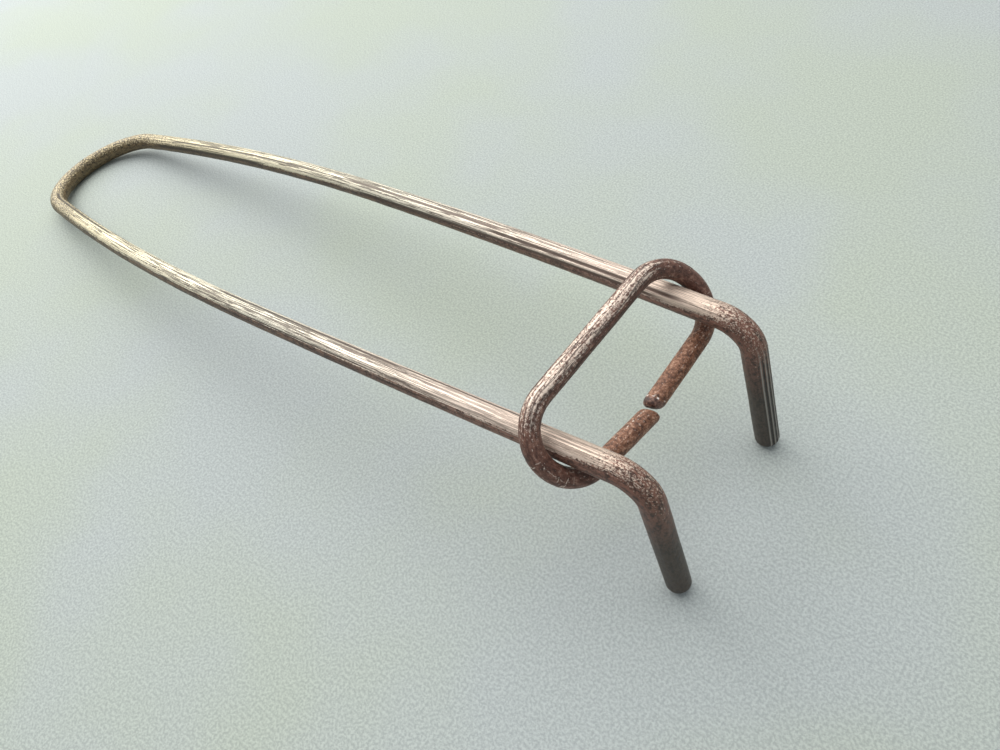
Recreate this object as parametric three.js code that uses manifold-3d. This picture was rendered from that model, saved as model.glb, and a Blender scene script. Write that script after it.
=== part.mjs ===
// A jar lifter: one steel rod bent into a hairpin with two down-turned jaw legs, and a ring of thinner rod
// that slides along both arms. Pulling the ring towards the handle bend squeezes the arms and closes the jaws.
//
// Millimetres. +X runs from the handle bend to the jaws, +Y to the left and +Z up. The tool stands on its handle
// bend and its two leg tips, and the origin is under the middle of its bounding box.
import * as THREE from 'three';
import Module from 'manifold-3d';
import { mergeVertices } from 'three/addons/utils/BufferGeometryUtils.js';

// Rod stock
const FRAME_ROD = 6.35;
const LINK_ROD = 4.9;

// The frame rod's centreline, one half of it, from the middle of the handle bend to a leg's tip.
// Each stretch is evenly curved: inward is its turn in plan, down is its turn towards the floor.
const HANDLE_BEND = { length: 35.35, inward: 83.7, down: 0, steps: 14 };
const BOWED_STRETCH = { length: 149.7, inward: 8.25, down: 1.63, steps: 8 };
const FRONT_STRETCH = { length: 125.55, inward: 1.6, down: 1.37, steps: 3 };
const LEG_BEND_RADIUS = 8.6;
const LEG_LENGTH = 36;
const LEG_LEAN_FORWARD = 12.8;
const LEG_SPLAY = 0.8;
const RISE = 8.96;

// The arms flex along their whole length. They are cut from the handle bend here, this far along the rod from
// its middle, so that each can turn as one rigid piece about its end.
const FLEX_AT = 59;
const CUT_GAP = 0.3;

// The link: an oblong ring whose two ends face each other across a small gap in the middle of its lower run.
// Its curls are bent by hand, and each side has its own radii.
const LINK_RIGHT = { half: 17.5, upperRadius: 10.3, lowerRadius: 11.6, turn: 172, end: 19.45 };
const LINK_LEFT = { half: 19.8, upperRadius: 13.6, lowerRadius: 9, turn: 178, end: 22.8 };
const LINK_FROM_HANDLE = 274.8;
const LINK_ASIDE = -2.7;
const LINK_ABOVE_FLOOR = 50.1;
const LINK_LEAN = 50.7;
const LINK_YAW = 1.7;
const LINK_ROLL = 0.8;

// Blunt ends, as [distance in from the edge, distance back from the tip]
const LEG_TIP = [[1.2, 0], [0.5, 0.45], [0, 1.3]];
const LINK_TIP = [[0.8, 0], [0.3, 0.3], [0, 0.8]];
// The link's two ends were cut on one slant, this many degrees from square to the rod.
const LINK_CUT_SLANT = 27;

const FRAME_SIDES = 16;
const LINK_SIDES = 14;
const LEG_BEND_STEPS = 9;
const CURL_STEPS = 9;
const UPPER_RUN_STEPS = 2;
const LATHE_SIDES = 24;
const CUTTER_MARGIN = 2;
const TOLERANCE = 0.01;

const Y = new THREE.Vector3(0, 1, 0);
const Z = new THREE.Vector3(0, 0, 1);

const wasm = await Module();
wasm.setup();

/** Rod centreline made of straight and evenly curved stretches, each tangent to the one before. */
class RodLine {
  constructor(point, direction) {
    this.stretches = [];
    this.length = 0;
    this.point = point.clone();
    this.tangent = direction.clone().normalize();
  }

  /** Adds a stretch that turns by angle, in radians, towards a direction. */
  add(length, angle, towards, steps) {
    const side = towards.clone().addScaledVector(this.tangent, -towards.dot(this.tangent)).normalize();
    const stretch = { from: this.length, length, angle, side, point: this.point, tangent: this.tangent, steps };
    this.stretches.push(stretch);
    this.length += length;
    const end = this.at(this.length);
    this.point = end.point;
    this.tangent = end.tangent;
    return this;
  }

  /** Point and tangent at a distance along the rod. */
  at(distance) {
    const stretch = this.stretches.findLast((s) => s.from <= distance);
    const { angle, length, point, tangent, side } = stretch;
    const along = distance - stretch.from;
    if (angle === 0) {
      return { point: point.clone().addScaledVector(tangent, along), tangent: tangent.clone() };
    }
    const radius = length / angle;
    const turned = along / radius;
    return {
      point: point.clone()
        .addScaledVector(tangent, radius * Math.sin(turned))
        .addScaledVector(side, radius * (1 - Math.cos(turned))),
      tangent: tangent.clone().multiplyScalar(Math.cos(turned)).addScaledVector(side, Math.sin(turned)),
    };
  }

  /** Stations between two distances: both ends, and every step of each stretch between them. */
  stations(from = 0, to = this.length) {
    const marks = [from];
    for (const stretch of this.stretches) {
      for (let i = 1; i <= stretch.steps; i += 1) {
        marks.push(stretch.from + (stretch.length * i) / stretch.steps);
      }
    }
    const inside = marks.filter((s) => s > from && s < to - 1e-6);
    return [from, ...inside, to].map((s) => this.at(s));
  }
}

/** A curve through stations, one for each equal step of its parameter. */
class StationCurve extends THREE.Curve {
  constructor(stations) {
    super();
    this.stations = stations;
    this.steps = stations.length - 1;
  }

  getPointAt(u, target = new THREE.Vector3()) {
    return target.copy(this.stations[Math.round(u * this.steps)].point);
  }

  getTangentAt(u, target = new THREE.Vector3()) {
    return target.copy(this.stations[Math.round(u * this.steps)].tangent);
  }
}

/** The same stations, walked the other way. */
function reversed(stations) {
  return stations.map((s) => ({ point: s.point, tangent: s.tangent.clone().negate() })).reverse();
}

function rodGeometry(stations, diameter, sides) {
  const section = new THREE.Shape().absarc(0, 0, diameter / 2, 0, 2 * Math.PI);
  const path = new StationCurve(stations);
  // A circle is drawn with two points for each curve segment.
  return new THREE.ExtrudeGeometry(section, { extrudePath: path, steps: path.steps, curveSegments: sides / 2 });
}

function toSolid(geometry) {
  const bare = geometry.clone();
  bare.deleteAttribute('normal');
  bare.deleteAttribute('uv');
  const merged = mergeVertices(bare);
  const vertProperties = merged.attributes.position.array;
  const triVerts = Uint32Array.from(merged.index.array);
  return new wasm.Manifold(new wasm.Mesh({ numProp: 3, vertProperties, triVerts }));
}

function toGeometry(solid) {
  const { vertProperties, triVerts } = solid.getMesh();
  const geometry = new THREE.BufferGeometry();
  geometry.setAttribute('position', new THREE.BufferAttribute(vertProperties, 3));
  geometry.setIndex(new THREE.BufferAttribute(triVerts, 1));
  geometry.computeVertexNormals();
  return geometry;
}

/** Everything outside a rod's blunt end, as a ring to cut away with. The end faces along its tangent. */
function endCutter(end, diameter, tip) {
  const radius = diameter / 2;
  const profile = tip.map(([inset, back]) => new THREE.Vector2(radius - inset, -back));
  const [flat] = profile;
  const last = profile[profile.length - 1];
  const outside = radius + CUTTER_MARGIN;
  const ring = [
    ...profile,
    new THREE.Vector2(outside, last.y - (outside - last.x)),
    new THREE.Vector2(outside, CUTTER_MARGIN),
    new THREE.Vector2(flat.x, CUTTER_MARGIN),
  ];
  const geometry = new THREE.LatheGeometry([...ring, ring[0]], LATHE_SIDES);
  geometry.applyQuaternion(new THREE.Quaternion().setFromUnitVectors(Y, end.tangent));
  return geometry.translate(end.point.x, end.point.y, end.point.z);
}

/** Rod with its given ends made blunt. */
function bluntRod(stations, diameter, sides, ends, tip) {
  const rod = toSolid(rodGeometry(stations, diameter, sides));
  const cut = ends.reduce((solid, end) => solid.subtract(toSolid(endCutter(end, diameter, tip))), rod);
  return toGeometry(cut);
}

/** Slants a blunt end: its points slide along the rod, further the nearer they are to one side of it. */
function slantEnd(geometry, end, tip, side) {
  const depth = Math.max(...tip.map(([, back]) => back));
  const slope = Math.tan(THREE.MathUtils.degToRad(LINK_CUT_SLANT));
  const { position } = geometry.attributes;
  const point = new THREE.Vector3();
  for (let i = 0; i < position.count; i += 1) {
    point.fromBufferAttribute(position, i).sub(end.point);
    const ahead = point.dot(end.tangent);
    if (ahead > -depth - TOLERANCE && ahead < TOLERANCE) {
      point.addScaledVector(end.tangent, slope * point.dot(side)).add(end.point);
      position.setXYZ(i, point.x, point.y, point.z);
    }
  }
  geometry.computeVertexNormals();
}

function steel(color, roughness, metalness) {
  return new THREE.MeshStandardMaterial({ color, roughness, metalness });
}

function namedMesh(name, geometry, material) {
  const mesh = new THREE.Mesh(geometry, material);
  mesh.name = name;
  return mesh;
}

/** Half of the frame rod, with side 1 for the left half and -1 for the right. */
function frameHalf(side) {
  const rise = THREE.MathUtils.degToRad(RISE);
  const down = Z.clone().applyAxisAngle(Y, -rise).negate();
  const line = new RodLine(new THREE.Vector3(0, 0, FRAME_ROD / 2), Y.clone().multiplyScalar(side));
  for (const { length, inward, down: sink, steps } of [HANDLE_BEND, BOWED_STRETCH, FRONT_STRETCH]) {
    // Inward is square to the rod in the hairpin's plane: forward at the handle bend, then across.
    const across = down.clone().cross(line.tangent).multiplyScalar(side);
    const towards = across.multiplyScalar(inward).addScaledVector(down, sink);
    line.add(length, THREE.MathUtils.degToRad(Math.hypot(inward, sink)), towards, steps);
  }
  const lean = Math.tan(THREE.MathUtils.degToRad(LEG_LEAN_FORWARD));
  const splay = Math.tan(THREE.MathUtils.degToRad(LEG_SPLAY));
  const leg = new THREE.Vector3(lean, side * splay, -1).normalize();
  const angle = line.tangent.angleTo(leg);
  line.add(LEG_BEND_RADIUS * angle, angle, leg, LEG_BEND_STEPS);
  line.add(LEG_LENGTH, 0, leg, 1);
  return line;
}

function handleBend(left, right) {
  const end = FLEX_AT - CUT_GAP / 2;
  const stations = [...reversed(right.stations(0, end)), ...left.stations(0, end).slice(1)];
  return namedMesh('handle_bend', rodGeometry(stations, FRAME_ROD, FRAME_SIDES), steel(0x7d6f58, 0.5, 0.8));
}

function arm(name, line) {
  const stations = line.stations(FLEX_AT + CUT_GAP / 2);
  const tip = stations[stations.length - 1];
  const geometry = bluntRod(stations, FRAME_ROD, FRAME_SIDES, [tip], LEG_TIP);
  return namedMesh(name, geometry, steel(0x6a5c50, 0.45, 0.85));
}

/** Half of the link in its own plane: side 1 goes left from the middle of the upper run, and it curls down. */
function linkHalf(side, { half, upperRadius, lowerRadius, turn, end }) {
  const line = new RodLine(new THREE.Vector3(), Y.clone().multiplyScalar(side));
  const down = Z.clone().negate();
  const inward = Y.clone().multiplyScalar(-side);
  const upper = Math.PI / 2;
  const lower = THREE.MathUtils.degToRad(turn) - upper;
  line.add(half, 0, down, UPPER_RUN_STEPS);
  line.add(upperRadius * upper, upper, down, CURL_STEPS);
  line.add(lowerRadius * lower, lower, inward, CURL_STEPS);
  line.add(end, 0, inward, 1);
  return line.stations();
}

function slideLink() {
  const left = linkHalf(1, LINK_LEFT);
  const right = linkHalf(-1, LINK_RIGHT);
  const stations = [...reversed(right), ...left.slice(1)];
  const leftEnd = left[left.length - 1];
  const rightEnd = right[right.length - 1];
  const geometry = bluntRod(stations, LINK_ROD, LINK_SIDES, [leftEnd, rightEnd], LINK_TIP);
  // The right end is longer on its lower side, and the left end on its upper side.
  slantEnd(geometry, leftEnd, LINK_TIP, Z);
  slantEnd(geometry, rightEnd, LINK_TIP, Z.clone().negate());
  const mesh = namedMesh('slide_link', geometry, steel(0x6f4f3a, 0.5, 0.8));
  // Upright, the ring would hang square across the arms. It leans with its upper run towards the handle bend.
  const lean = THREE.MathUtils.degToRad(LINK_LEAN - 90);
  const roll = THREE.MathUtils.degToRad(LINK_ROLL);
  const yaw = THREE.MathUtils.degToRad(-LINK_YAW);
  mesh.rotation.set(roll, lean, yaw, 'ZXY');
  mesh.position.set(LINK_FROM_HANDLE, LINK_ASIDE, LINK_ABOVE_FLOOR);
  return mesh;
}

function jarLifter() {
  const left = frameHalf(1);
  const right = frameHalf(-1);
  const tool = new THREE.Group();
  tool.add(handleBend(left, right), arm('left_arm', left), arm('right_arm', right), slideLink());
  // The floor is z = 0, and the bounding box's middle goes over the origin.
  tool.updateMatrixWorld(true);
  const box = new THREE.Box3().setFromObject(tool, true);
  tool.position.set(-(box.min.x + box.max.x) / 2, 0, -box.min.z);
  return tool;
}

export default jarLifter();
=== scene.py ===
"""Looks of a jar lifter: worn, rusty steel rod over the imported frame.

Metres in the CAD frame: +X runs from the handle bend to the jaws, +Y to the left, +Z up. The rods' driving
sizes are in millimetres, as in the part's source, and are turned into metres once, where a mesh is made.
"""

import math

import bpy
import numpy as np
from mathutils import Matrix, Vector, noise


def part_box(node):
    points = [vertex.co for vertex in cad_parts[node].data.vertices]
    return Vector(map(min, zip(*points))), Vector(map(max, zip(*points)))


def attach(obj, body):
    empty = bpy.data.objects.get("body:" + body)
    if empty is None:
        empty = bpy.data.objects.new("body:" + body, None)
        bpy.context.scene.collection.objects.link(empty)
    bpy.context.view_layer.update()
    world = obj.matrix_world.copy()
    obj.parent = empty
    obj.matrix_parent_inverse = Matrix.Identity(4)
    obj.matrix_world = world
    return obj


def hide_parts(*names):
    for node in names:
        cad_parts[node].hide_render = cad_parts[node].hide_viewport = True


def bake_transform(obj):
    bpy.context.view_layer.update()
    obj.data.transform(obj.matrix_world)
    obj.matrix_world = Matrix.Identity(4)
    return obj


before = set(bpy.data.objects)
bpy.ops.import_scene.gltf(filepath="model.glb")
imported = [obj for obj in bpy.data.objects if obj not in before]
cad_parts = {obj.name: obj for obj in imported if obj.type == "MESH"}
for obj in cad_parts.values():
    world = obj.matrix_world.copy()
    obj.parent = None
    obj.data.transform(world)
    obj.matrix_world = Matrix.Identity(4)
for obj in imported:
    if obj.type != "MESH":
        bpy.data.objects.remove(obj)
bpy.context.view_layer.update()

MM = 0.001

# Rod stock
FRAME_ROD = 6.35
LINK_ROD = 4.9

# The frame rod's centreline, one half of it, from the middle of the handle bend to a leg's tip
HANDLE_BEND = {"length": 35.35, "inward": 83.7, "down": 0}
BOWED_STRETCH = {"length": 149.7, "inward": 8.25, "down": 1.63}
FRONT_STRETCH = {"length": 125.55, "inward": 1.6, "down": 1.37}
LEG_BEND_RADIUS = 8.6
LEG_LENGTH = 36
LEG_LEAN_FORWARD = 12.8
LEG_SPLAY = 0.8
RISE = 8.96

# The link's two halves, from the middle of its upper run to its cut ends
LINK_RIGHT = {"half": 17.5, "upper_radius": 10.3, "lower_radius": 11.6, "turn": 172, "end": 19.45}
LINK_LEFT = {"half": 19.8, "upper_radius": 13.6, "lower_radius": 9, "turn": 178, "end": 22.8}
LINK_FROM_HANDLE = 274.8
LINK_ASIDE = -2.7
LINK_ABOVE_FLOOR = 50.1
LINK_LEAN = 50.7
LINK_YAW = 1.7
LINK_ROLL = 0.8
# The link's two ends were cut on one slant, this many degrees from square to the rod. The slant fades into
# the straight run over this length.
LINK_CUT_SLANT = 27
SLANT_FADE = 5.0
# The sharp corner of each slanted end is worn back to this far beyond the middle of the end.
CORNER_REACH = 0.5

# Rounded edge of a blunt end: the width in from its edge and the depth back from its tip. Its flat is a dome.
LEG_TIP = (1.7, 2.0)
LEG_DOME = 0.2
LINK_RIGHT_TIP = (0.9, 1.3)
LINK_LEFT_TIP = (1.0, 2.0)
LINK_DOME = 0.1

# Long deep draw lines on top of the arms. Each runs from and to a place along and across the rod, and has half
# its width after them.
LONG_LINES = [
    ((-22, 1.25), (-98, 1.15), 0.72),
    ((-165, 1.1), (-256, 1.0), 0.72),
    ((-244, 1.4), (-300, 1.3), 0.46),
    ((-175, -2.75), (-246, -2.65), 0.16),
    ((-120, 0.1), (-200, 0.0), 0.14),
    ((60, -1.25), (285, -1.3), 0.22),
    ((40, 2.9), (125, 2.75), 0.36),
    ((175, 2.8), (300, 2.55), 0.32),
    ((52, 0.95), (160, 0.8), 0.46),
    ((166, 0.6), (248, 0.35), 0.66),
    ((232, 1.5), (306, 1.6), 0.58),
]
LINE_FADE = 9.0
LINE_DEPTH = 0.05
# A line is at full depth and darkness over this share of its half width.
LINE_CORE = 0.35
LINE_DARK = 0.9

# Grooves down the left leg's front: a wave across the rod, from and to a place along it
GROOVE_WAVE = 5.5
GROOVE_PHASE = 2.0
GROOVE_FROM = (318.0, 328.0)
GROOVE_EDGE = (1.9, 2.3)
GROOVE_DEPTH = 0.08

# Fine relief: how fine along the rod and across it, the noise's seed, and its height
FRAME_RELIEF = [
    (0.012, 1.1, 3.1, 0.045),
    (0.05, 2.6, 7.7, 0.03),
    (0.16, 0.35, 11.3, 0.05),
]
LINK_RELIEF = [
    (0.02, 1.3, 23.3, 0.05),
    (0.07, 3.0, 29.9, 0.03),
    (0.2, 0.4, 31.7, 0.06),
]
# Pits: how fine along the rod and across it, the noise's seed, how far below its middle they begin, and their
# depth
FRAME_PITS = (0.8, 1.3, 17.9, 0.25, 0.14)
LINK_PITS = (0.9, 1.5, 37.1, 0.2, 0.16)
# The bends are a little flattened: by how much, and where, as a middle and a reach along the rod
FLATTENED_BY = 0.05
FLATTENED_AT = ((0, 40), (315, 14))

# Fine meshes: spacing of the rings along a rod, and points round it
FRAME_STEP = 0.6
FRAME_ROUND = 88
LINK_STEP = 0.4
LINK_ROUND = 72
CAP_RINGS = 6

# Length of half of the frame rod, rounded, which the frame's ramps of colour and wear run along
FRAME_HALF = 360.0
# The link's upper run fades into its curls, and they into its lower run, at these distances from the middle.
UPPER_RUN_END = (20.0, 32.0)
CURL_START = (24.0, 30.0)
CURL_END = (42.0, 50.0)
LOWER_RUN_START = (46.0, 56.0)
# Where the bevel of the link's left end begins
LINK_BEVEL = 75.6

# Camera
CAMERA_AT = (0.18107, -0.08262, 0.17569)
CAMERA_HEADING = 139.637
CAMERA_DIP = 52.648
CAMERA_ROLL = 15.559
CAMERA_LENS = 25.794
SENSOR_WIDTH = 36
CLIP_START = 0.01

# Studio, in metres and watts
FLOOR_SIDE = 3.0
KEY_LIGHT = {
    "towards": (-0.6, 0.4, 1.0),
    "distance": 1.25,
    "size": 2.0,
    "power": 25,
    "colour": (1.0, 0.99, 0.95),
}
BACK_LIGHT = {
    "towards": (-1.3, 0.2, 0.75),
    "distance": 1.1,
    "size": 0.8,
    "power": 5,
    "colour": (1.0, 0.99, 0.94),
}
SKY_COLOUR = (0.92, 0.97, 1.0, 1)
SKY_STRENGTH = 0.42

UP = Vector((0, 0, 1))


# ---------------------------------------------------------------- centrelines

class RodLine:
    """Rod centreline of straight and evenly curved stretches, each tangent to the one before."""

    def __init__(self, point, direction):
        self.point = Vector(point)
        self.tangent = Vector(direction).normalized()
        self.stretches = []
        self.length = 0.0

    def add(self, length, angle, towards):
        """Adds a stretch that turns by angle, in radians, towards a direction."""
        side = (towards - self.tangent * towards.dot(self.tangent)).normalized()
        self.stretches.append((self.length, length, angle, side, self.point, self.tangent))
        self.length += length
        self.point, self.tangent = self.at(self.length)
        return self

    def at(self, distance):
        """Point and tangent at a distance along the rod."""
        begun = [s for s in self.stretches if s[0] <= distance]
        start, length, angle, side, point, tangent = begun[-1]
        along = distance - start
        if angle == 0:
            return point + tangent * along, tangent.copy()
        radius = length / angle
        turned = along / radius
        moved = tangent * math.sin(turned) + side * (1 - math.cos(turned))
        return point + moved * radius, tangent * math.cos(turned) + side * math.sin(turned)


def frame_half(side):
    """Half of the frame rod, with side 1 for the left half and -1 for the right."""
    down = -(Matrix.Rotation(math.radians(-RISE), 3, "Y") @ UP)
    line = RodLine((0, 0, FRAME_ROD / 2), (0, side, 0))
    for stretch in (HANDLE_BEND, BOWED_STRETCH, FRONT_STRETCH):
        across = down.cross(line.tangent) * side
        towards = across * stretch["inward"] + down * stretch["down"]
        angle = math.radians(math.hypot(stretch["inward"], stretch["down"]))
        line.add(stretch["length"], angle, towards)
    lean = math.tan(math.radians(LEG_LEAN_FORWARD))
    splay = math.tan(math.radians(LEG_SPLAY))
    leg = Vector((lean, side * splay, -1)).normalized()
    angle = line.tangent.angle(leg)
    line.add(LEG_BEND_RADIUS * angle, angle, leg)
    return line.add(LEG_LENGTH, 0, leg)


def link_half(side, sizes):
    """Half of the link in its own plane: it goes out from the middle of the upper run, and curls down."""
    line = RodLine((0, 0, 0), (0, side, 0))
    down = -UP
    inward = Vector((0, -side, 0))
    upper = math.pi / 2
    lower = math.radians(sizes["turn"]) - upper
    line.add(sizes["half"], 0, down)
    line.add(sizes["upper_radius"] * upper, upper, down)
    line.add(sizes["lower_radius"] * lower, lower, inward)
    return line.add(sizes["end"], 0, inward)


def walk(right, left, step):
    """Stations along a whole rod, from the right half's tip to the left half's: signed distance, point and
    tangent. The middle, where the halves meet, is a station."""
    stations = []
    count = round(right.length / step)
    for i in range(count, 0, -1):
        distance = right.length * i / count
        point, tangent = right.at(distance)
        stations.append((-distance, point, -tangent))
    count = round(left.length / step)
    for i in range(count + 1):
        distance = left.length * i / count
        stations.append((distance, *left.at(distance)))
    return stations


def turned_frames(stations, middle, up):
    """For each station, the two directions across the rod, carried from the middle without twist. The first
    one starts as up."""
    tangents = [s[2] for s in stations]
    ups = [None] * len(stations)
    ups[middle] = (up - tangents[middle] * up.dot(tangents[middle])).normalized()
    for order in (range(middle + 1, len(stations)), range(middle - 1, -1, -1)):
        for i in order:
            before = i - 1 if i > middle else i + 1
            turn = tangents[before].rotation_difference(tangents[i])
            carried = turn @ ups[before]
            ups[i] = (carried - tangents[i] * carried.dot(tangents[i])).normalized()
    return [(u, t.cross(u)) for u, t in zip(ups, tangents)]


# ---------------------------------------------------------------- surface shape

def smooth_step(low, high, value):
    """0 at low and 1 at high, with a smooth rise between."""
    t = min(1.0, max(0.0, (value - low) / (high - low)))
    return t * t * (3 - 2 * t)


def bump_near(value, centre, width):
    """1 at the centre, and 0 from the width on, with no corner."""
    return 1 - smooth_step(0, width, abs(value - centre))


def noise_at(s, u, v, along, across, seed):
    """Smooth noise in rod space: features are 1/along long and 1/across wide, in millimetres."""
    return noise.noise(Vector((s * along + seed, u * across + seed * 0.37, v * across - seed * 0.61)))


def rounded_tip(back, width, depth):
    """How far a tip's edge pulls in, at a distance back from its end."""
    if back >= depth:
        return 0.0
    rise = 1 - back / depth
    return width * (1 - math.sqrt(max(0.0, 1 - rise * rise)))


def worn_corner(out):
    """How far out a slanted end's corner still reaches, from how far out it was cut."""
    return out if out < 0 else CORNER_REACH * (1 - math.exp(-out / CORNER_REACH))


def line_share(s, u, v):
    """How deep in a long draw line a place is, from 0 to 1."""
    if u < 0:
        return 0.0
    deepest = 0.0
    for start, end, width in LONG_LINES:
        low, high = sorted((start[0], end[0]))
        if low < s < high:
            centre = start[1] + (end[1] - start[1]) * (s - start[0]) / (end[0] - start[0])
            inside = smooth_step(low, low + LINE_FADE, s) * smooth_step(high, high - LINE_FADE, s)
            share = inside * smooth_step(width, width * LINE_CORE, abs(v - centre))
            deepest = max(deepest, share)
    return deepest


def groove_share(s, u, v):
    """How deep in one of the left leg's grooves a place is, from 0 to 1."""
    if s < GROOVE_FROM[0] or u < 0:
        return 0.0
    wave = math.sin(GROOVE_WAVE * v + GROOVE_PHASE)
    edge = smooth_step(*GROOVE_FROM, s) * smooth_step(0, 1, u) * smooth_step(*GROOVE_EDGE[::-1], v)
    return edge * smooth_step(0.0, 0.8, wave)


def relief(s, u, v, layers, pits):
    """Height of the layers of fine relief, added up, and of the pits."""
    height = sum(noise_at(s, u, v, *layer[:3]) * layer[3] for layer in layers)
    along, across, seed, threshold, depth = pits
    return height + min(0.0, noise_at(s, u, v, along, across, seed) + threshold) * depth


def frame_surface(s, angle):
    """How far the frame rod's surface stands out from its true circle, in millimetres."""
    u = FRAME_ROD / 2 * math.cos(angle)
    v = FRAME_ROD / 2 * math.sin(angle)
    bends = sum(bump_near(abs(s), middle, reach) for middle, reach in FLATTENED_AT)
    flattened = -FLATTENED_BY * bends * math.cos(2 * angle)
    cut = LINE_DEPTH * line_share(s, u, v) + GROOVE_DEPTH * groove_share(s, u, v)
    return relief(s, u, v, FRAME_RELIEF, FRAME_PITS) + flattened - cut


def link_surface(s, angle):
    """The same for the link, which is bent by hand and rustier."""
    u = LINK_ROD / 2 * math.cos(angle)
    v = LINK_ROD / 2 * math.sin(angle)
    return relief(s, u, v, LINK_RELIEF, LINK_PITS)


# ---------------------------------------------------------------- meshes

def sweep(stations, up, radius, round_points, surface, tips, slant=0.0):
    """Rings of points along a rod, and their places in rod space: the distance along the rod and the two
    distances across it, all in millimetres. tips are the rounded edges of its first and last end. slant
    slides an end's points along the rod, by that much for each millimetre across."""
    middle = [s for s, _, _ in stations].index(0)
    frames = turned_frames(stations, middle, up)
    first, last = stations[0][0], stations[-1][0]
    points = np.zeros((len(stations), round_points, 3))
    places = np.zeros((len(stations), round_points, 3))
    for i, ((s, centre, tangent), (u_axis, v_axis)) in enumerate(zip(stations, frames)):
        back, tip = min((s - first, tips[0]), (last - s, tips[1]))
        pulled_in = rounded_tip(back, *tip)
        slide = slant * (1 - smooth_step(tip[1], SLANT_FADE, back))
        outward = 1 if i > middle else -1
        for k in range(round_points):
            angle = 2 * math.pi * k / round_points
            reach = radius - pulled_in + surface(s, angle) * smooth_step(0, tip[1], back)
            u, v = reach * math.cos(angle), reach * math.sin(angle)
            shift = outward * worn_corner(outward * slide * v)
            points[i, k] = centre + u_axis * u + v_axis * v + tangent * shift
            places[i, k] = (s, u, v)
    return points, places


def cap(ring, direction, dome):
    """Rings that close a blunt end in a shallow dome, from its edge in to its middle."""
    centre = ring.mean(axis=0)
    shares = [1 - i / CAP_RINGS for i in range(1, CAP_RINGS + 1)]
    return [centre + (ring - centre) * share + direction * dome * (1 - share * share) for share in shares]


def rod_mesh(name, points, places, start, end):
    """A closed rod from its rings. start and end give the direction and the dome of its two ends."""
    still = np.zeros(3)
    before = [np.array(start[0]), start[1]]
    after = [np.array(end[0]), end[1]]
    rings = cap(points[0], *before)[::-1] + list(points) + cap(points[-1], *after)
    spots = cap(places[0], still, 0)[::-1] + list(places) + cap(places[-1], still, 0)
    count = points.shape[1]
    # The first and the last ring have shrunk to a point.
    vertices = np.concatenate([rings[0][:1], *rings[1:-1], rings[-1][:1]])
    where = np.concatenate([spots[0][:1], *spots[1:-1], spots[-1][:1]])
    last = len(vertices) - 1
    whole = len(rings) - 2
    faces, smooth = [], []
    for k in range(count):
        onward = (k + 1) % count
        faces.append((0, 1 + onward, 1 + k))
        faces.append((last, last - count + k, last - count + onward))
        smooth += [start[1] > 0, end[1] > 0]
        for ring in range(whole - 1):
            a = 1 + ring * count
            faces.append((a + k, a + onward, a + onward + count, a + k + count))
            in_start = ring < CAP_RINGS - 1
            in_end = ring >= whole - CAP_RINGS
            # A flat end is shaded flat, so that the side's shading runs on across it to the next piece.
            smooth.append((start[1] > 0 or not in_start) and (end[1] > 0 or not in_end))
    mesh = bpy.data.meshes.new(name)
    mesh.from_pydata((vertices * MM).tolist(), [], faces)
    attribute = mesh.attributes.new("rod_mm", "FLOAT_VECTOR", "POINT")
    attribute.data.foreach_set("vector", where.astype(np.float32).ravel())
    mesh.polygons.foreach_set("use_smooth", smooth)
    piece = bpy.data.objects.new(name, mesh)
    bpy.context.scene.collection.objects.link(piece)
    return piece


def apex_x():
    """How far forward the middle of the handle bend's centreline is, in millimetres."""
    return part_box("handle_bend")[0].x / MM + FRAME_ROD / 2


def make_frame():
    """The frame rod as two pieces that meet in the middle of the handle bend."""
    move = Vector((apex_x(), 0, 0))
    stations = [(s, p + move, t) for s, p, t in walk(frame_half(-1), frame_half(1), FRAME_STEP)]
    middle = [s for s, _, _ in stations].index(0)
    points, places = sweep(stations, UP, FRAME_ROD / 2, FRAME_ROUND, frame_surface, (LEG_TIP, LEG_TIP))
    onward = stations[middle][2]
    right_tip, left_tip = (-stations[0][2], LEG_DOME), (stations[-1][2], LEG_DOME)
    right = rod_mesh("frame_rod_right", points[:middle + 1], places[:middle + 1], right_tip, (onward, 0))
    left = rod_mesh("frame_rod_left", points[middle:], places[middle:], (-onward, 0), left_tip)
    return left, right


def make_link():
    """The link as one piece, leaning on the arms."""
    turn = (
        Matrix.Rotation(math.radians(-LINK_YAW), 3, "Z")
        @ Matrix.Rotation(math.radians(LINK_ROLL), 3, "X")
        @ Matrix.Rotation(math.radians(LINK_LEAN - 90), 3, "Y")
    )
    at = Vector((LINK_FROM_HANDLE + apex_x(), LINK_ASIDE, LINK_ABOVE_FLOOR))
    stations = walk(link_half(-1, LINK_RIGHT), link_half(1, LINK_LEFT), LINK_STEP)
    stations = [(s, turn @ p + at, turn @ t) for s, p, t in stations]
    normal = turn @ Vector((1, 0, 0))
    slant = math.tan(math.radians(LINK_CUT_SLANT))
    tips = (LINK_RIGHT_TIP, LINK_LEFT_TIP)
    points, places = sweep(stations, normal, LINK_ROD / 2, LINK_ROUND, link_surface, tips, slant)
    return rod_mesh("link_rod", points, places, (-stations[0][2], LINK_DOME), (stations[-1][2], LINK_DOME))


# ---------------------------------------------------------------- materials

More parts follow.
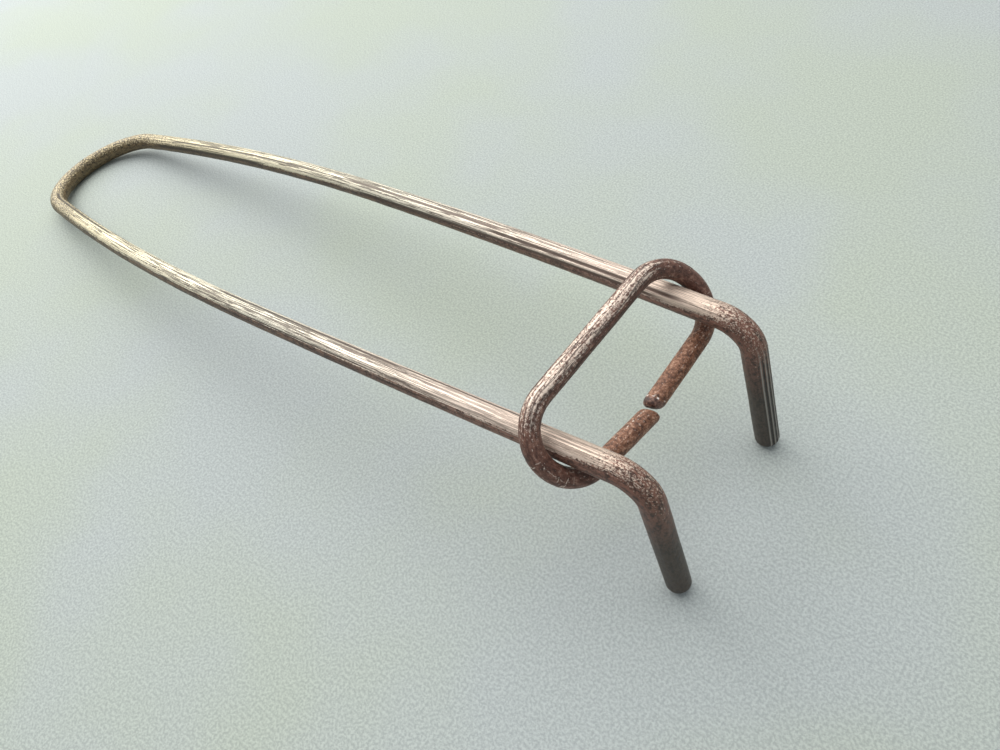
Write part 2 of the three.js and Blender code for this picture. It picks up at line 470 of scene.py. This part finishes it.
class Shader:
    """Short names for the nodes of one material."""

    def __init__(self, name):
        self.material = bpy.data.materials.new(name)
        self.material.use_nodes = True
        self.tree = self.material.node_tree
        self.principled = self.tree.nodes["Principled BSDF"]

    def link(self, value, socket):
        if isinstance(value, bpy.types.NodeSocket):
            self.tree.links.new(value, socket)
        else:
            socket.default_value = value

    def node(self, kind, **settings):
        made = self.tree.nodes.new(kind)
        for key, value in settings.items():
            setattr(made, key, value)
        return made

    def attribute(self, name):
        return self.node("ShaderNodeAttribute", attribute_name=name).outputs["Vector"]

    def split(self, vector):
        made = self.node("ShaderNodeSeparateXYZ")
        self.link(vector, made.inputs[0])
        return made.outputs

    def stretched(self, vector, scale):
        made = self.node("ShaderNodeVectorMath", operation="MULTIPLY")
        self.link(vector, made.inputs[0])
        self.link(scale, made.inputs[1])
        return made.outputs[0]

    def noise(self, vector, scale, detail, roughness):
        made = self.node("ShaderNodeTexNoise")
        self.link(vector, made.inputs["Vector"])
        made.inputs["Scale"].default_value = scale
        made.inputs["Detail"].default_value = detail
        made.inputs["Roughness"].default_value = roughness
        return made.outputs["Fac"]

    def math(self, operation, a, b=0.0):
        made = self.node("ShaderNodeMath", operation=operation)
        self.link(a, made.inputs[0])
        self.link(b, made.inputs[1])
        return made.outputs[0]

    def span(self, value, low, high, to_low=0.0, to_high=1.0):
        """Value from low to high, turned smoothly into to_low to to_high."""
        made = self.node("ShaderNodeMapRange", interpolation_type="SMOOTHSTEP")
        self.link(value, made.inputs["Value"])
        self.link(low, made.inputs["From Min"])
        self.link(high, made.inputs["From Max"])
        self.link(to_low, made.inputs["To Min"])
        self.link(to_high, made.inputs["To Max"])
        return made.outputs["Result"]

    def noises(self, rod, table):
        """The noises of a table, in rod space, by name."""
        made = {}
        for name, (scale, detail, roughness) in table.items():
            made[name] = self.noise(self.stretched(rod, scale), 1.0, detail, roughness)
        return made

    def times(self, first, *others):
        """Values multiplied together."""
        made = first
        for value in others:
            made = self.math("MULTIPLY", made, value)
        return made

    def blended(self, a, b, share_a):
        """Two values added up, each by its share of 1."""
        return self.math("ADD", self.times(a, share_a), self.times(b, 1 - share_a))

    def around(self, value, edge, soft):
        """0 below an edge and 1 above it, and smooth within soft of it."""
        return self.span(value, self.math("SUBTRACT", edge, soft), self.math("ADD", edge, soft))

    def ramp(self, value, stops):
        """A colour, or one grey level, for each value, from (place, colour) stops."""
        made = self.node("ShaderNodeValToRGB")
        elements = made.color_ramp.elements
        while len(elements) < len(stops):
            elements.new(0.5)
        for element, (place, colour) in zip(elements, stops):
            element.position = place
            element.color = (*colour, 1) if isinstance(colour, tuple) else (colour, colour, colour, 1)
        self.link(value, made.inputs[0])
        return made.outputs["Color"]

    def mix(self, share, a, b):
        made = self.node("ShaderNodeMix", data_type="RGBA")
        self.link(share, made.inputs[0])
        self.link(a if isinstance(a, bpy.types.NodeSocket) else (*a, 1), made.inputs[6])
        self.link(b if isinstance(b, bpy.types.NodeSocket) else (*b, 1), made.inputs[7])
        return made.outputs[2]

    def bump(self, height, strength, distance):
        made = self.node("ShaderNodeBump")
        self.link(height, made.inputs["Height"])
        made.inputs["Strength"].default_value = strength
        made.inputs["Distance"].default_value = distance
        self.link(made.outputs[0], self.principled.inputs["Normal"])

    def surface(self, name, value):
        self.link(value, self.principled.inputs[name])


# Noises in rod space: how fine along the rod and across it, their detail and their roughness
FRAME_NOISES = {
    "long_streaks": ((0.02, 2.6, 2.6), 3.0, 0.65),
    "short_streaks": ((0.1, 3.6, 3.6), 3.0, 0.65),
    "mottle": ((0.5, 0.9, 0.9), 4.0, 0.65),
    "speckle": ((1.3, 1.6, 1.6), 4.0, 0.75),
    "grit": ((2.4, 2.7, 2.7), 3.0, 0.7),
}
LINK_NOISES = {
    "long_streaks": ((0.07, 1.7, 1.7), 4.0, 0.65),
    "mottle": ((0.6, 1.1, 1.1), 5.0, 0.75),
    "grains": ((1.1, 1.1, 1.1), 4.0, 0.75),
    "speckle": ((1.5, 1.8, 1.8), 4.0, 0.75),
    "scratches": ((2.6, 0.5, 0.5), 1.0, 0.4),
    "patches": ((0.12, 0.12, 0.12), 1.0, 0.5),
    "rim_glints": ((1.4, 1.4, 1.4), 1.0, 0.5),
}
# Random thin lines: how fine along the rod and across it, and how wide
COARSE_LINES = (0.012, 0.9, 0.045)
FINE_LINES = (0.02, 1.8, 0.06)
LINK_LINES = (0.04, 1.0, 0.04)
# The share of a thin line's width that is fully dark
THIN_CORE = 0.3

# Along each half of the frame rod, from the handle bend at 0 to the leg's tip near 1: how speckled the wear
# is, how much of it there is, and how strong the random thin lines are
SPECKLED = [(0.0, 1.0), (0.14, 0.9), (0.36, 0.4), (0.5, 0.25), (0.82, 0.3), (0.88, 0.7)]
WORN = [(0.0, 0.42), (0.1, 0.5), (0.24, 0.86), (0.66, 0.86), (0.83, 0.92), (0.88, 0.42), (0.92, 0.12)]
DRAWN = [(0.06, 0.0), (0.18, 0.85), (0.70, 0.85), (0.76, 0.55), (0.86, 0.55), (0.9, 0.1)]
# Along the same half: the colours of the oxide, of the grime in lines and hollows, and of the bare steel
OXIDE = [
    (0.0, (0.19, 0.14, 0.07)),
    (0.22, (0.23, 0.15, 0.08)),
    (0.55, (0.23, 0.135, 0.085)),
    (0.75, (0.35, 0.19, 0.14)),
    (0.89, (0.26, 0.12, 0.085)),
    (0.94, (0.085, 0.064, 0.048)),
]
GRIME = [
    (0.0, (0.04, 0.03, 0.016)),
    (0.3, (0.035, 0.024, 0.018)),
    (0.86, (0.07, 0.034, 0.025)),
    (0.94, (0.04, 0.031, 0.024)),
]
STEEL = [
    (0.0, (0.62, 0.52, 0.32)),
    (0.1, (0.70, 0.60, 0.39)),
    (0.24, (0.86, 0.77, 0.55)),
    (0.55, (0.87, 0.81, 0.68)),
    (0.76, (0.87, 0.72, 0.62)),
    (0.9, (0.74, 0.58, 0.47)),
    (0.94, (0.22, 0.20, 0.17)),
]
# Wear grows from the first to the second of these heights above the rod's axis. Below them it is this share,
# which darkens the underside: partly wear, partly painted shade.
WEAR_AND_SHADE_HEIGHTS = (0.1, 2.8)
WORN_AND_SHADED_BELOW = 0.3
# A place is bare where the pattern is above an edge. The edge is here without wear, comes down by this much
# where wear is full, and is this soft.
LEAST_WORN = 0.75
WEAR_REACH = 0.46
WORN_SOFT = 0.04
# The pattern: the share of long streaks in it, and where it turns to grit
LONG_SHARE = 0.6
GRITTY_FROM = (0.83, 0.89)
# Grime is patchy, by a grain that is this much mottle, and thin lines break where the short streaks are low.
MOTTLE_SHARE = 0.5
GRAIN_EDGE = (0.40, 0.55)
BROKEN_LINES = (0.36, 0.50)
# The leg's grooves and the ridges between them: heights of the wave where they begin and are whole. Then the
# share of painted highlight on the ridges, the painted shade in the grooves and the ridges' highlight colour.
GROOVE_WALL = (0.2, 0.8)
RIDGE_WALL = (-0.35, -0.85)
RIDGE_HIGHLIGHT_SHARE = 0.6
GROOVE_PAINTED_SHADE = (0.02, 0.018, 0.015)
RIDGE_PAINTED_HIGHLIGHT = (0.44, 0.42, 0.38)
# From dark oxide to bare steel, and from the speckle's low places to its high ones
FRAME_METALLIC = (0.15, 0.55)
FRAME_ROUGHNESS = (0.36, 0.58)
FRAME_GRAIN_HEIGHT = 0.6
SPECKLE_SPREAD = (0.3, 0.7)

# The link's wear and painted highlight on its outer side: from and to how far out on that side, and the
# pattern's edge without wear and with most. Then how soft the edge is, the long streaks' share of the pattern,
# and the strength of the thin lines off the upper run and on it
LINK_WORN_AND_LIT_SIDE = (-1.0, -3.2)
LINK_WORN_AND_LIT_EDGE = (0.61, 0.495)
LINK_WORN_SOFT = 0.05
LINK_LONG_SHARE = 0.4
LINK_DRAWN = (0.05, 0.7)
# Rubbed scratches run across the curls, in patches.
PATCH_EDGE = (0.50, 0.60)
SCRATCH_EDGE = (0.66, 0.70)
SCRATCH_BARE = 0.8
LINK_METALLIC = (0.1, 0.55)
LINK_ROUGHNESS = (0.38, 0.62)
LINK_GRAIN_HEIGHT = 0.8
# The bevel of its left end: the grain of its face, how much of the face shows, its rim and the painted
# highlight glints along the rim
BEVEL_GRAIN = (0.42, 0.62)
BEVEL_SHARE = 0.8
RIM_WIDTH = (0.1, 0.3)
RIM_GLINT_EDGE = (0.50, 0.58)

# The link's colours: rust on the curls and on the lower run, by the height of their noise, and the rest
CURL_RUST = [
    (0.32, (0.035, 0.018, 0.014)),
    (0.46, (0.12, 0.052, 0.037)),
    (0.58, (0.22, 0.105, 0.075)),
    (0.70, (0.38, 0.24, 0.18)),
]
LOW_RUST = [
    (0.34, (0.05, 0.02, 0.012)),
    (0.46, (0.17, 0.07, 0.038)),
    (0.56, (0.31, 0.14, 0.078)),
    (0.68, (0.55, 0.34, 0.24)),
]
# Pale bare steel, bright enough to serve also as the painted highlight on the upper run's outer side
LINK_BARE_AND_HIGHLIGHT = (0.84, 0.70, 0.60)
LINK_GRIME = (0.04, 0.022, 0.017)
BEVEL_DARK = (0.055, 0.026, 0.024)
BEVEL_PALE = (0.30, 0.17, 0.13)
# Colour of the painted highlight glints on the bevel's rim
RIM_GLINT = (0.85, 0.78, 0.72)

BUMP_STRENGTH = 0.8
BUMP_HEIGHT = 0.00014


def thin_lines(sh, rod, along, across, width):
    """Long thin dark lines: where stretched noise crosses its middle value."""
    value = sh.noise(sh.stretched(rod, (along, across, across)), 1.0, 2.0, 0.5)
    away = sh.math("ABSOLUTE", sh.math("SUBTRACT", value, 0.5))
    return sh.span(away, width * THIN_CORE, width, 1.0, 0.0)


def long_line(sh, s, u, v, start, end, width):
    """One long dark line between two places, fading out at both."""
    centre = sh.node("ShaderNodeMapRange")
    for socket, value in zip(centre.inputs, (s, start[0], end[0], start[1], end[1])):
        sh.link(value, socket)
    away = sh.math("ABSOLUTE", sh.math("SUBTRACT", v, centre.outputs["Result"]))
    low, high = sorted((start[0], end[0]))
    begun = sh.span(s, low, low + LINE_FADE)
    ended = sh.span(s, high - LINE_FADE, high, 1.0, 0.0)
    across = sh.span(away, width * LINE_CORE, width, LINE_DARK, 0.0)
    return sh.times(begun, ended, sh.span(u, 0.0, 0.4), across)


def frame_lines(sh, rod, along, short_streaks):
    """All the dark lines along the frame rod: random thin ones, and the long ones on the arms."""
    s, u, v = sh.split(rod)
    thin = sh.math("MAXIMUM", thin_lines(sh, rod, *COARSE_LINES), thin_lines(sh, rod, *FINE_LINES))
    lines = sh.times(thin, sh.span(short_streaks, *BROKEN_LINES), sh.ramp(along, DRAWN))
    for line in LONG_LINES:
        lines = sh.math("MAXIMUM", lines, long_line(sh, s, u, v, *line))
    return lines


def frame_bare_and_shade(sh, along, u, streaks, noises):
    """Where the frame rod is worn to bare steel, most on top. Less is bare underneath, partly from wear and
    partly as painted shade on the underside.
    """
    pattern = sh.mix(sh.ramp(along, SPECKLED), streaks, noises["speckle"])
    pattern = sh.mix(sh.span(along, *GRITTY_FROM), pattern, noises["grit"])
    # Lighter on top and darker underneath: partly wear, partly painted shade on the underside.
    top_wear_and_shade = sh.span(u, *WEAR_AND_SHADE_HEIGHTS)
    share = sh.times(sh.ramp(along, WORN), sh.span(top_wear_and_shade, 0.0, 1.0, WORN_AND_SHADED_BELOW, 1.0))
    edge = sh.math("SUBTRACT", LEAST_WORN, sh.times(share, WEAR_REACH))
    return sh.around(pattern, edge, WORN_SOFT)


def leg_grooves_and_painted_light(sh, s, u, v):
    """The grooves down the left leg's front, with painted shade in them, and the painted highlight on the
    ridges between them.
    """
    place = sh.times(sh.span(s, *GROOVE_FROM), sh.span(v, *GROOVE_EDGE, 1.0, 0.0), sh.span(u, 0.0, 1.0))
    wave = sh.math("SINE", sh.math("ADD", sh.times(v, GROOVE_WAVE), GROOVE_PHASE))
    groove_relief_and_shade = sh.times(place, sh.span(wave, *GROOVE_WALL))
    ridge_highlights = sh.times(place, sh.span(wave, *RIDGE_WALL, 0.0, RIDGE_HIGHLIGHT_SHARE))
    return groove_relief_and_shade, ridge_highlights


def frame_steel():
    """Drawn steel: brown oxide worn bare in streaks, most on top, with painted shade darkening the underside.
    Tan at the handle bend, rusty at the leg bends, and dull and dark on the legs."""
    sh = Shader("frame_steel_worn_and_shaded")
    rod = sh.attribute("rod_mm")
    s, u, v = sh.split(rod)
    along = sh.math("DIVIDE", sh.math("ABSOLUTE", s), FRAME_HALF)
    noises = sh.noises(rod, FRAME_NOISES)
    streaks = sh.blended(noises["long_streaks"], noises["short_streaks"], LONG_SHARE)
    bare_with_painted_light = frame_bare_and_shade(sh, along, u, streaks, noises)
    lines = frame_lines(sh, rod, along, noises["short_streaks"])
    groove_relief_and_shade, ridge_highlights = leg_grooves_and_painted_light(sh, s, u, v)

    grain = sh.blended(noises["mottle"], noises["speckle"], MOTTLE_SHARE)
    grime = sh.ramp(along, GRIME)
    dark = sh.mix(sh.span(grain, *GRAIN_EDGE), grime, sh.ramp(along, OXIDE))
    colour = sh.mix(lines, sh.mix(bare_with_painted_light, dark, sh.ramp(along, STEEL)), grime)
    # Painted shade in the leg's grooves, and a painted highlight on the ridges between them.
    colour = sh.mix(ridge_highlights, sh.mix(groove_relief_and_shade, colour, GROOVE_PAINTED_SHADE), RIDGE_PAINTED_HIGHLIGHT)
    sh.surface("Base Color", colour)
    sh.surface("Metallic", sh.span(bare_with_painted_light, 0.0, 1.0, *FRAME_METALLIC))
    sh.surface("Roughness", sh.span(noises["speckle"], *SPECKLE_SPREAD, *FRAME_ROUGHNESS))
    height = sh.math("SUBTRACT", streaks, sh.math("ADD", lines, groove_relief_and_shade))
    height = sh.math("ADD", height, sh.times(noises["speckle"], FRAME_GRAIN_HEIGHT))
    sh.bump(height, BUMP_STRENGTH, BUMP_HEIGHT)
    return sh.material


def link_bare_and_highlight(sh, rod, away, upper, noises):
    """Where the link is worn to bare steel: in streaks on the outer side of its upper run, which are partly
    wear and partly a painted highlight, and in scratches across its curls."""
    _, u, v = sh.split(rod)
    # The outer side's pale streaks: partly wear, partly painted highlight.
    outer = sh.times(sh.span(sh.math("SUBTRACT", v, u), *LINK_WORN_AND_LIT_SIDE), upper)
    pattern = sh.blended(noises["long_streaks"], noises["speckle"], LINK_LONG_SHARE)
    edge = sh.span(outer, 0.0, 1.0, *LINK_WORN_AND_LIT_EDGE)
    streaks = sh.around(pattern, edge, LINK_WORN_SOFT)
    curls = sh.times(sh.span(away, *CURL_START), sh.span(away, *CURL_END, 1.0, 0.0))
    patches = sh.span(noises["patches"], *PATCH_EDGE)
    scratches = sh.times(curls, patches, sh.span(noises["scratches"], *SCRATCH_EDGE), SCRATCH_BARE)
    return sh.math("MAXIMUM", streaks, scratches)


def link_bevel(sh, s, colour, noises):
    """The link's colour with the bevel of its left end: a darker face behind a rim with bright painted
    highlight glints.
    """
    face = sh.mix(sh.span(noises["grains"], *BEVEL_GRAIN), BEVEL_DARK, BEVEL_PALE)
    colour = sh.mix(sh.span(s, LINK_BEVEL - 0.1, LINK_BEVEL + 0.5, 0.0, BEVEL_SHARE), colour, face)
    away = sh.math("ABSOLUTE", sh.math("SUBTRACT", s, LINK_BEVEL))
    rim = sh.span(away, *RIM_WIDTH, 1.0, 0.0)
    # Bright painted highlight glints along the bevel's rim.
    return sh.mix(sh.times(rim, sh.span(noises["rim_glints"], *RIM_GLINT_EDGE)), colour, RIM_GLINT)


def link_steel():
    """The link: redder and rustier steel than the frame's."""
    sh = Shader("link_steel_rusty")
    rod = sh.attribute("rod_mm")
    s, _, _ = sh.split(rod)
    away = sh.math("ABSOLUTE", s)
    noises = sh.noises(rod, LINK_NOISES)
    upper = sh.span(away, *UPPER_RUN_END, 1.0, 0.0)
    bare_with_painted_light = link_bare_and_highlight(sh, rod, away, upper, noises)
    lower = sh.span(away, *LOWER_RUN_START)
    rust = sh.mix(lower, sh.ramp(noises["mottle"], CURL_RUST), sh.ramp(noises["grains"], LOW_RUST))
    lines = sh.times(thin_lines(sh, rod, *LINK_LINES), sh.span(upper, 0.0, 1.0, *LINK_DRAWN))
    colour = sh.mix(lines, sh.mix(bare_with_painted_light, rust, LINK_BARE_AND_HIGHLIGHT), LINK_GRIME)
    sh.surface("Base Color", link_bevel(sh, s, colour, noises))
    sh.surface("Metallic", sh.span(bare_with_painted_light, 0.0, 1.0, *LINK_METALLIC))
    sh.surface("Roughness", sh.span(noises["speckle"], *SPECKLE_SPREAD, *LINK_ROUGHNESS))
    height = sh.math("SUBTRACT", noises["long_streaks"], lines)
    height = sh.math("ADD", height, sh.times(noises["grains"], LINK_GRAIN_HEIGHT))
    sh.bump(height, BUMP_STRENGTH, BUMP_HEIGHT)
    return sh.material


# The board: two tones in soft clouds, and the shade in the hollows of its fine tooth
BOARD_CLOUDS = (9.0, 3.0, 0.5)
BOARD_TOOTH = (1500.0, 2.0, 0.7)
BOARD_SPREAD = (0.35, 0.65)
BOARD_TONES = ((0.50, 0.555, 0.48), (0.50, 0.545, 0.54))
BOARD_SHADES = ((0.74, 0.74, 0.76), (1.0, 1.0, 1.0))
BOARD_ROUGHNESS = 0.8
BOARD_BUMP = (0.4, 0.0003)


def floor_finish():
    """Pale blue-green board with a fine tooth and a faint cloudy tone."""
    sh = Shader("pale_board")
    place = sh.node("ShaderNodeNewGeometry").outputs["Position"]
    clouds = sh.noise(place, *BOARD_CLOUDS)
    tooth = sh.noise(place, *BOARD_TOOTH)
    tone = sh.mix(sh.span(clouds, *BOARD_SPREAD), *BOARD_TONES)
    shade = sh.mix(sh.span(tooth, *BOARD_SPREAD), *BOARD_SHADES)
    made = sh.node("ShaderNodeMix", data_type="RGBA", blend_type="MULTIPLY")
    made.inputs[0].default_value = 1.0
    sh.link(tone, made.inputs[6])
    sh.link(shade, made.inputs[7])
    sh.surface("Base Color", made.outputs[2])
    sh.surface("Roughness", BOARD_ROUGHNESS)
    sh.bump(tooth, *BOARD_BUMP)
    return sh.material


# ---------------------------------------------------------------- scene

def make_camera():
    heading, dip, roll = (math.radians(a) for a in (CAMERA_HEADING, CAMERA_DIP, CAMERA_ROLL))
    forward = Vector((math.cos(heading) * math.cos(dip), math.sin(heading) * math.cos(dip), -math.sin(dip)))
    level = forward.cross(UP).normalized()
    right = Matrix.Rotation(roll, 3, forward) @ level
    up = right.cross(forward)
    axes = Matrix((right, up, -forward)).transposed()
    data = bpy.data.cameras.new("camera")
    data.lens = CAMERA_LENS
    data.sensor_width = SENSOR_WIDTH
    data.clip_start = CLIP_START
    camera = bpy.data.objects.new("camera", data)
    camera.matrix_world = Matrix.Translation(CAMERA_AT) @ axes.to_4x4()
    bpy.context.scene.collection.objects.link(camera)
    bpy.context.scene.camera = camera


def make_floor():
    corners = [(FLOOR_SIDE * x, FLOOR_SIDE * y, 0) for x, y in ((-1, -1), (1, -1), (1, 1), (-1, 1))]
    mesh = bpy.data.meshes.new("floor")
    mesh.from_pydata(corners, [], [(0, 1, 2, 3)])
    mesh.materials.append(floor_finish())
    floor = bpy.data.objects.new("floor", mesh)
    bpy.context.scene.collection.objects.link(floor)


def area_light(name, towards, distance, size, power, colour):
    """A soft square light in a direction from the object, facing it."""
    data = bpy.data.lights.new(name, "AREA")
    data.energy = power
    data.size = size
    data.color = colour
    lamp = bpy.data.objects.new(name, data)
    direction = Vector(towards).normalized()
    lamp.location = direction * distance
    lamp.rotation_mode = "QUATERNION"
    lamp.rotation_quaternion = direction.to_track_quat("Z", "Y")
    bpy.context.scene.collection.objects.link(lamp)


def make_light():
    area_light("key", **KEY_LIGHT)
    area_light("back", **BACK_LIGHT)
    world = bpy.data.worlds.new("studio")
    world.use_nodes = True
    background = world.node_tree.nodes["Background"]
    background.inputs["Color"].default_value = SKY_COLOUR
    background.inputs["Strength"].default_value = SKY_STRENGTH
    bpy.context.scene.world = world


def main():
    make_camera()
    left, right = make_frame()
    link = make_link()
    steel, rusty = frame_steel(), link_steel()
    for piece in (left, right):
        piece.data.materials.append(steel)
    link.data.materials.append(rusty)

    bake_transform(left)
    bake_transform(right)
    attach(link, "link")
    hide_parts("handle_bend", "left_arm")
    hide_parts("handle_bend", "right_arm")
    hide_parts("slide_link")

    make_floor()
    make_light()
    bpy.context.scene.view_settings.view_transform = "Standard"


main()
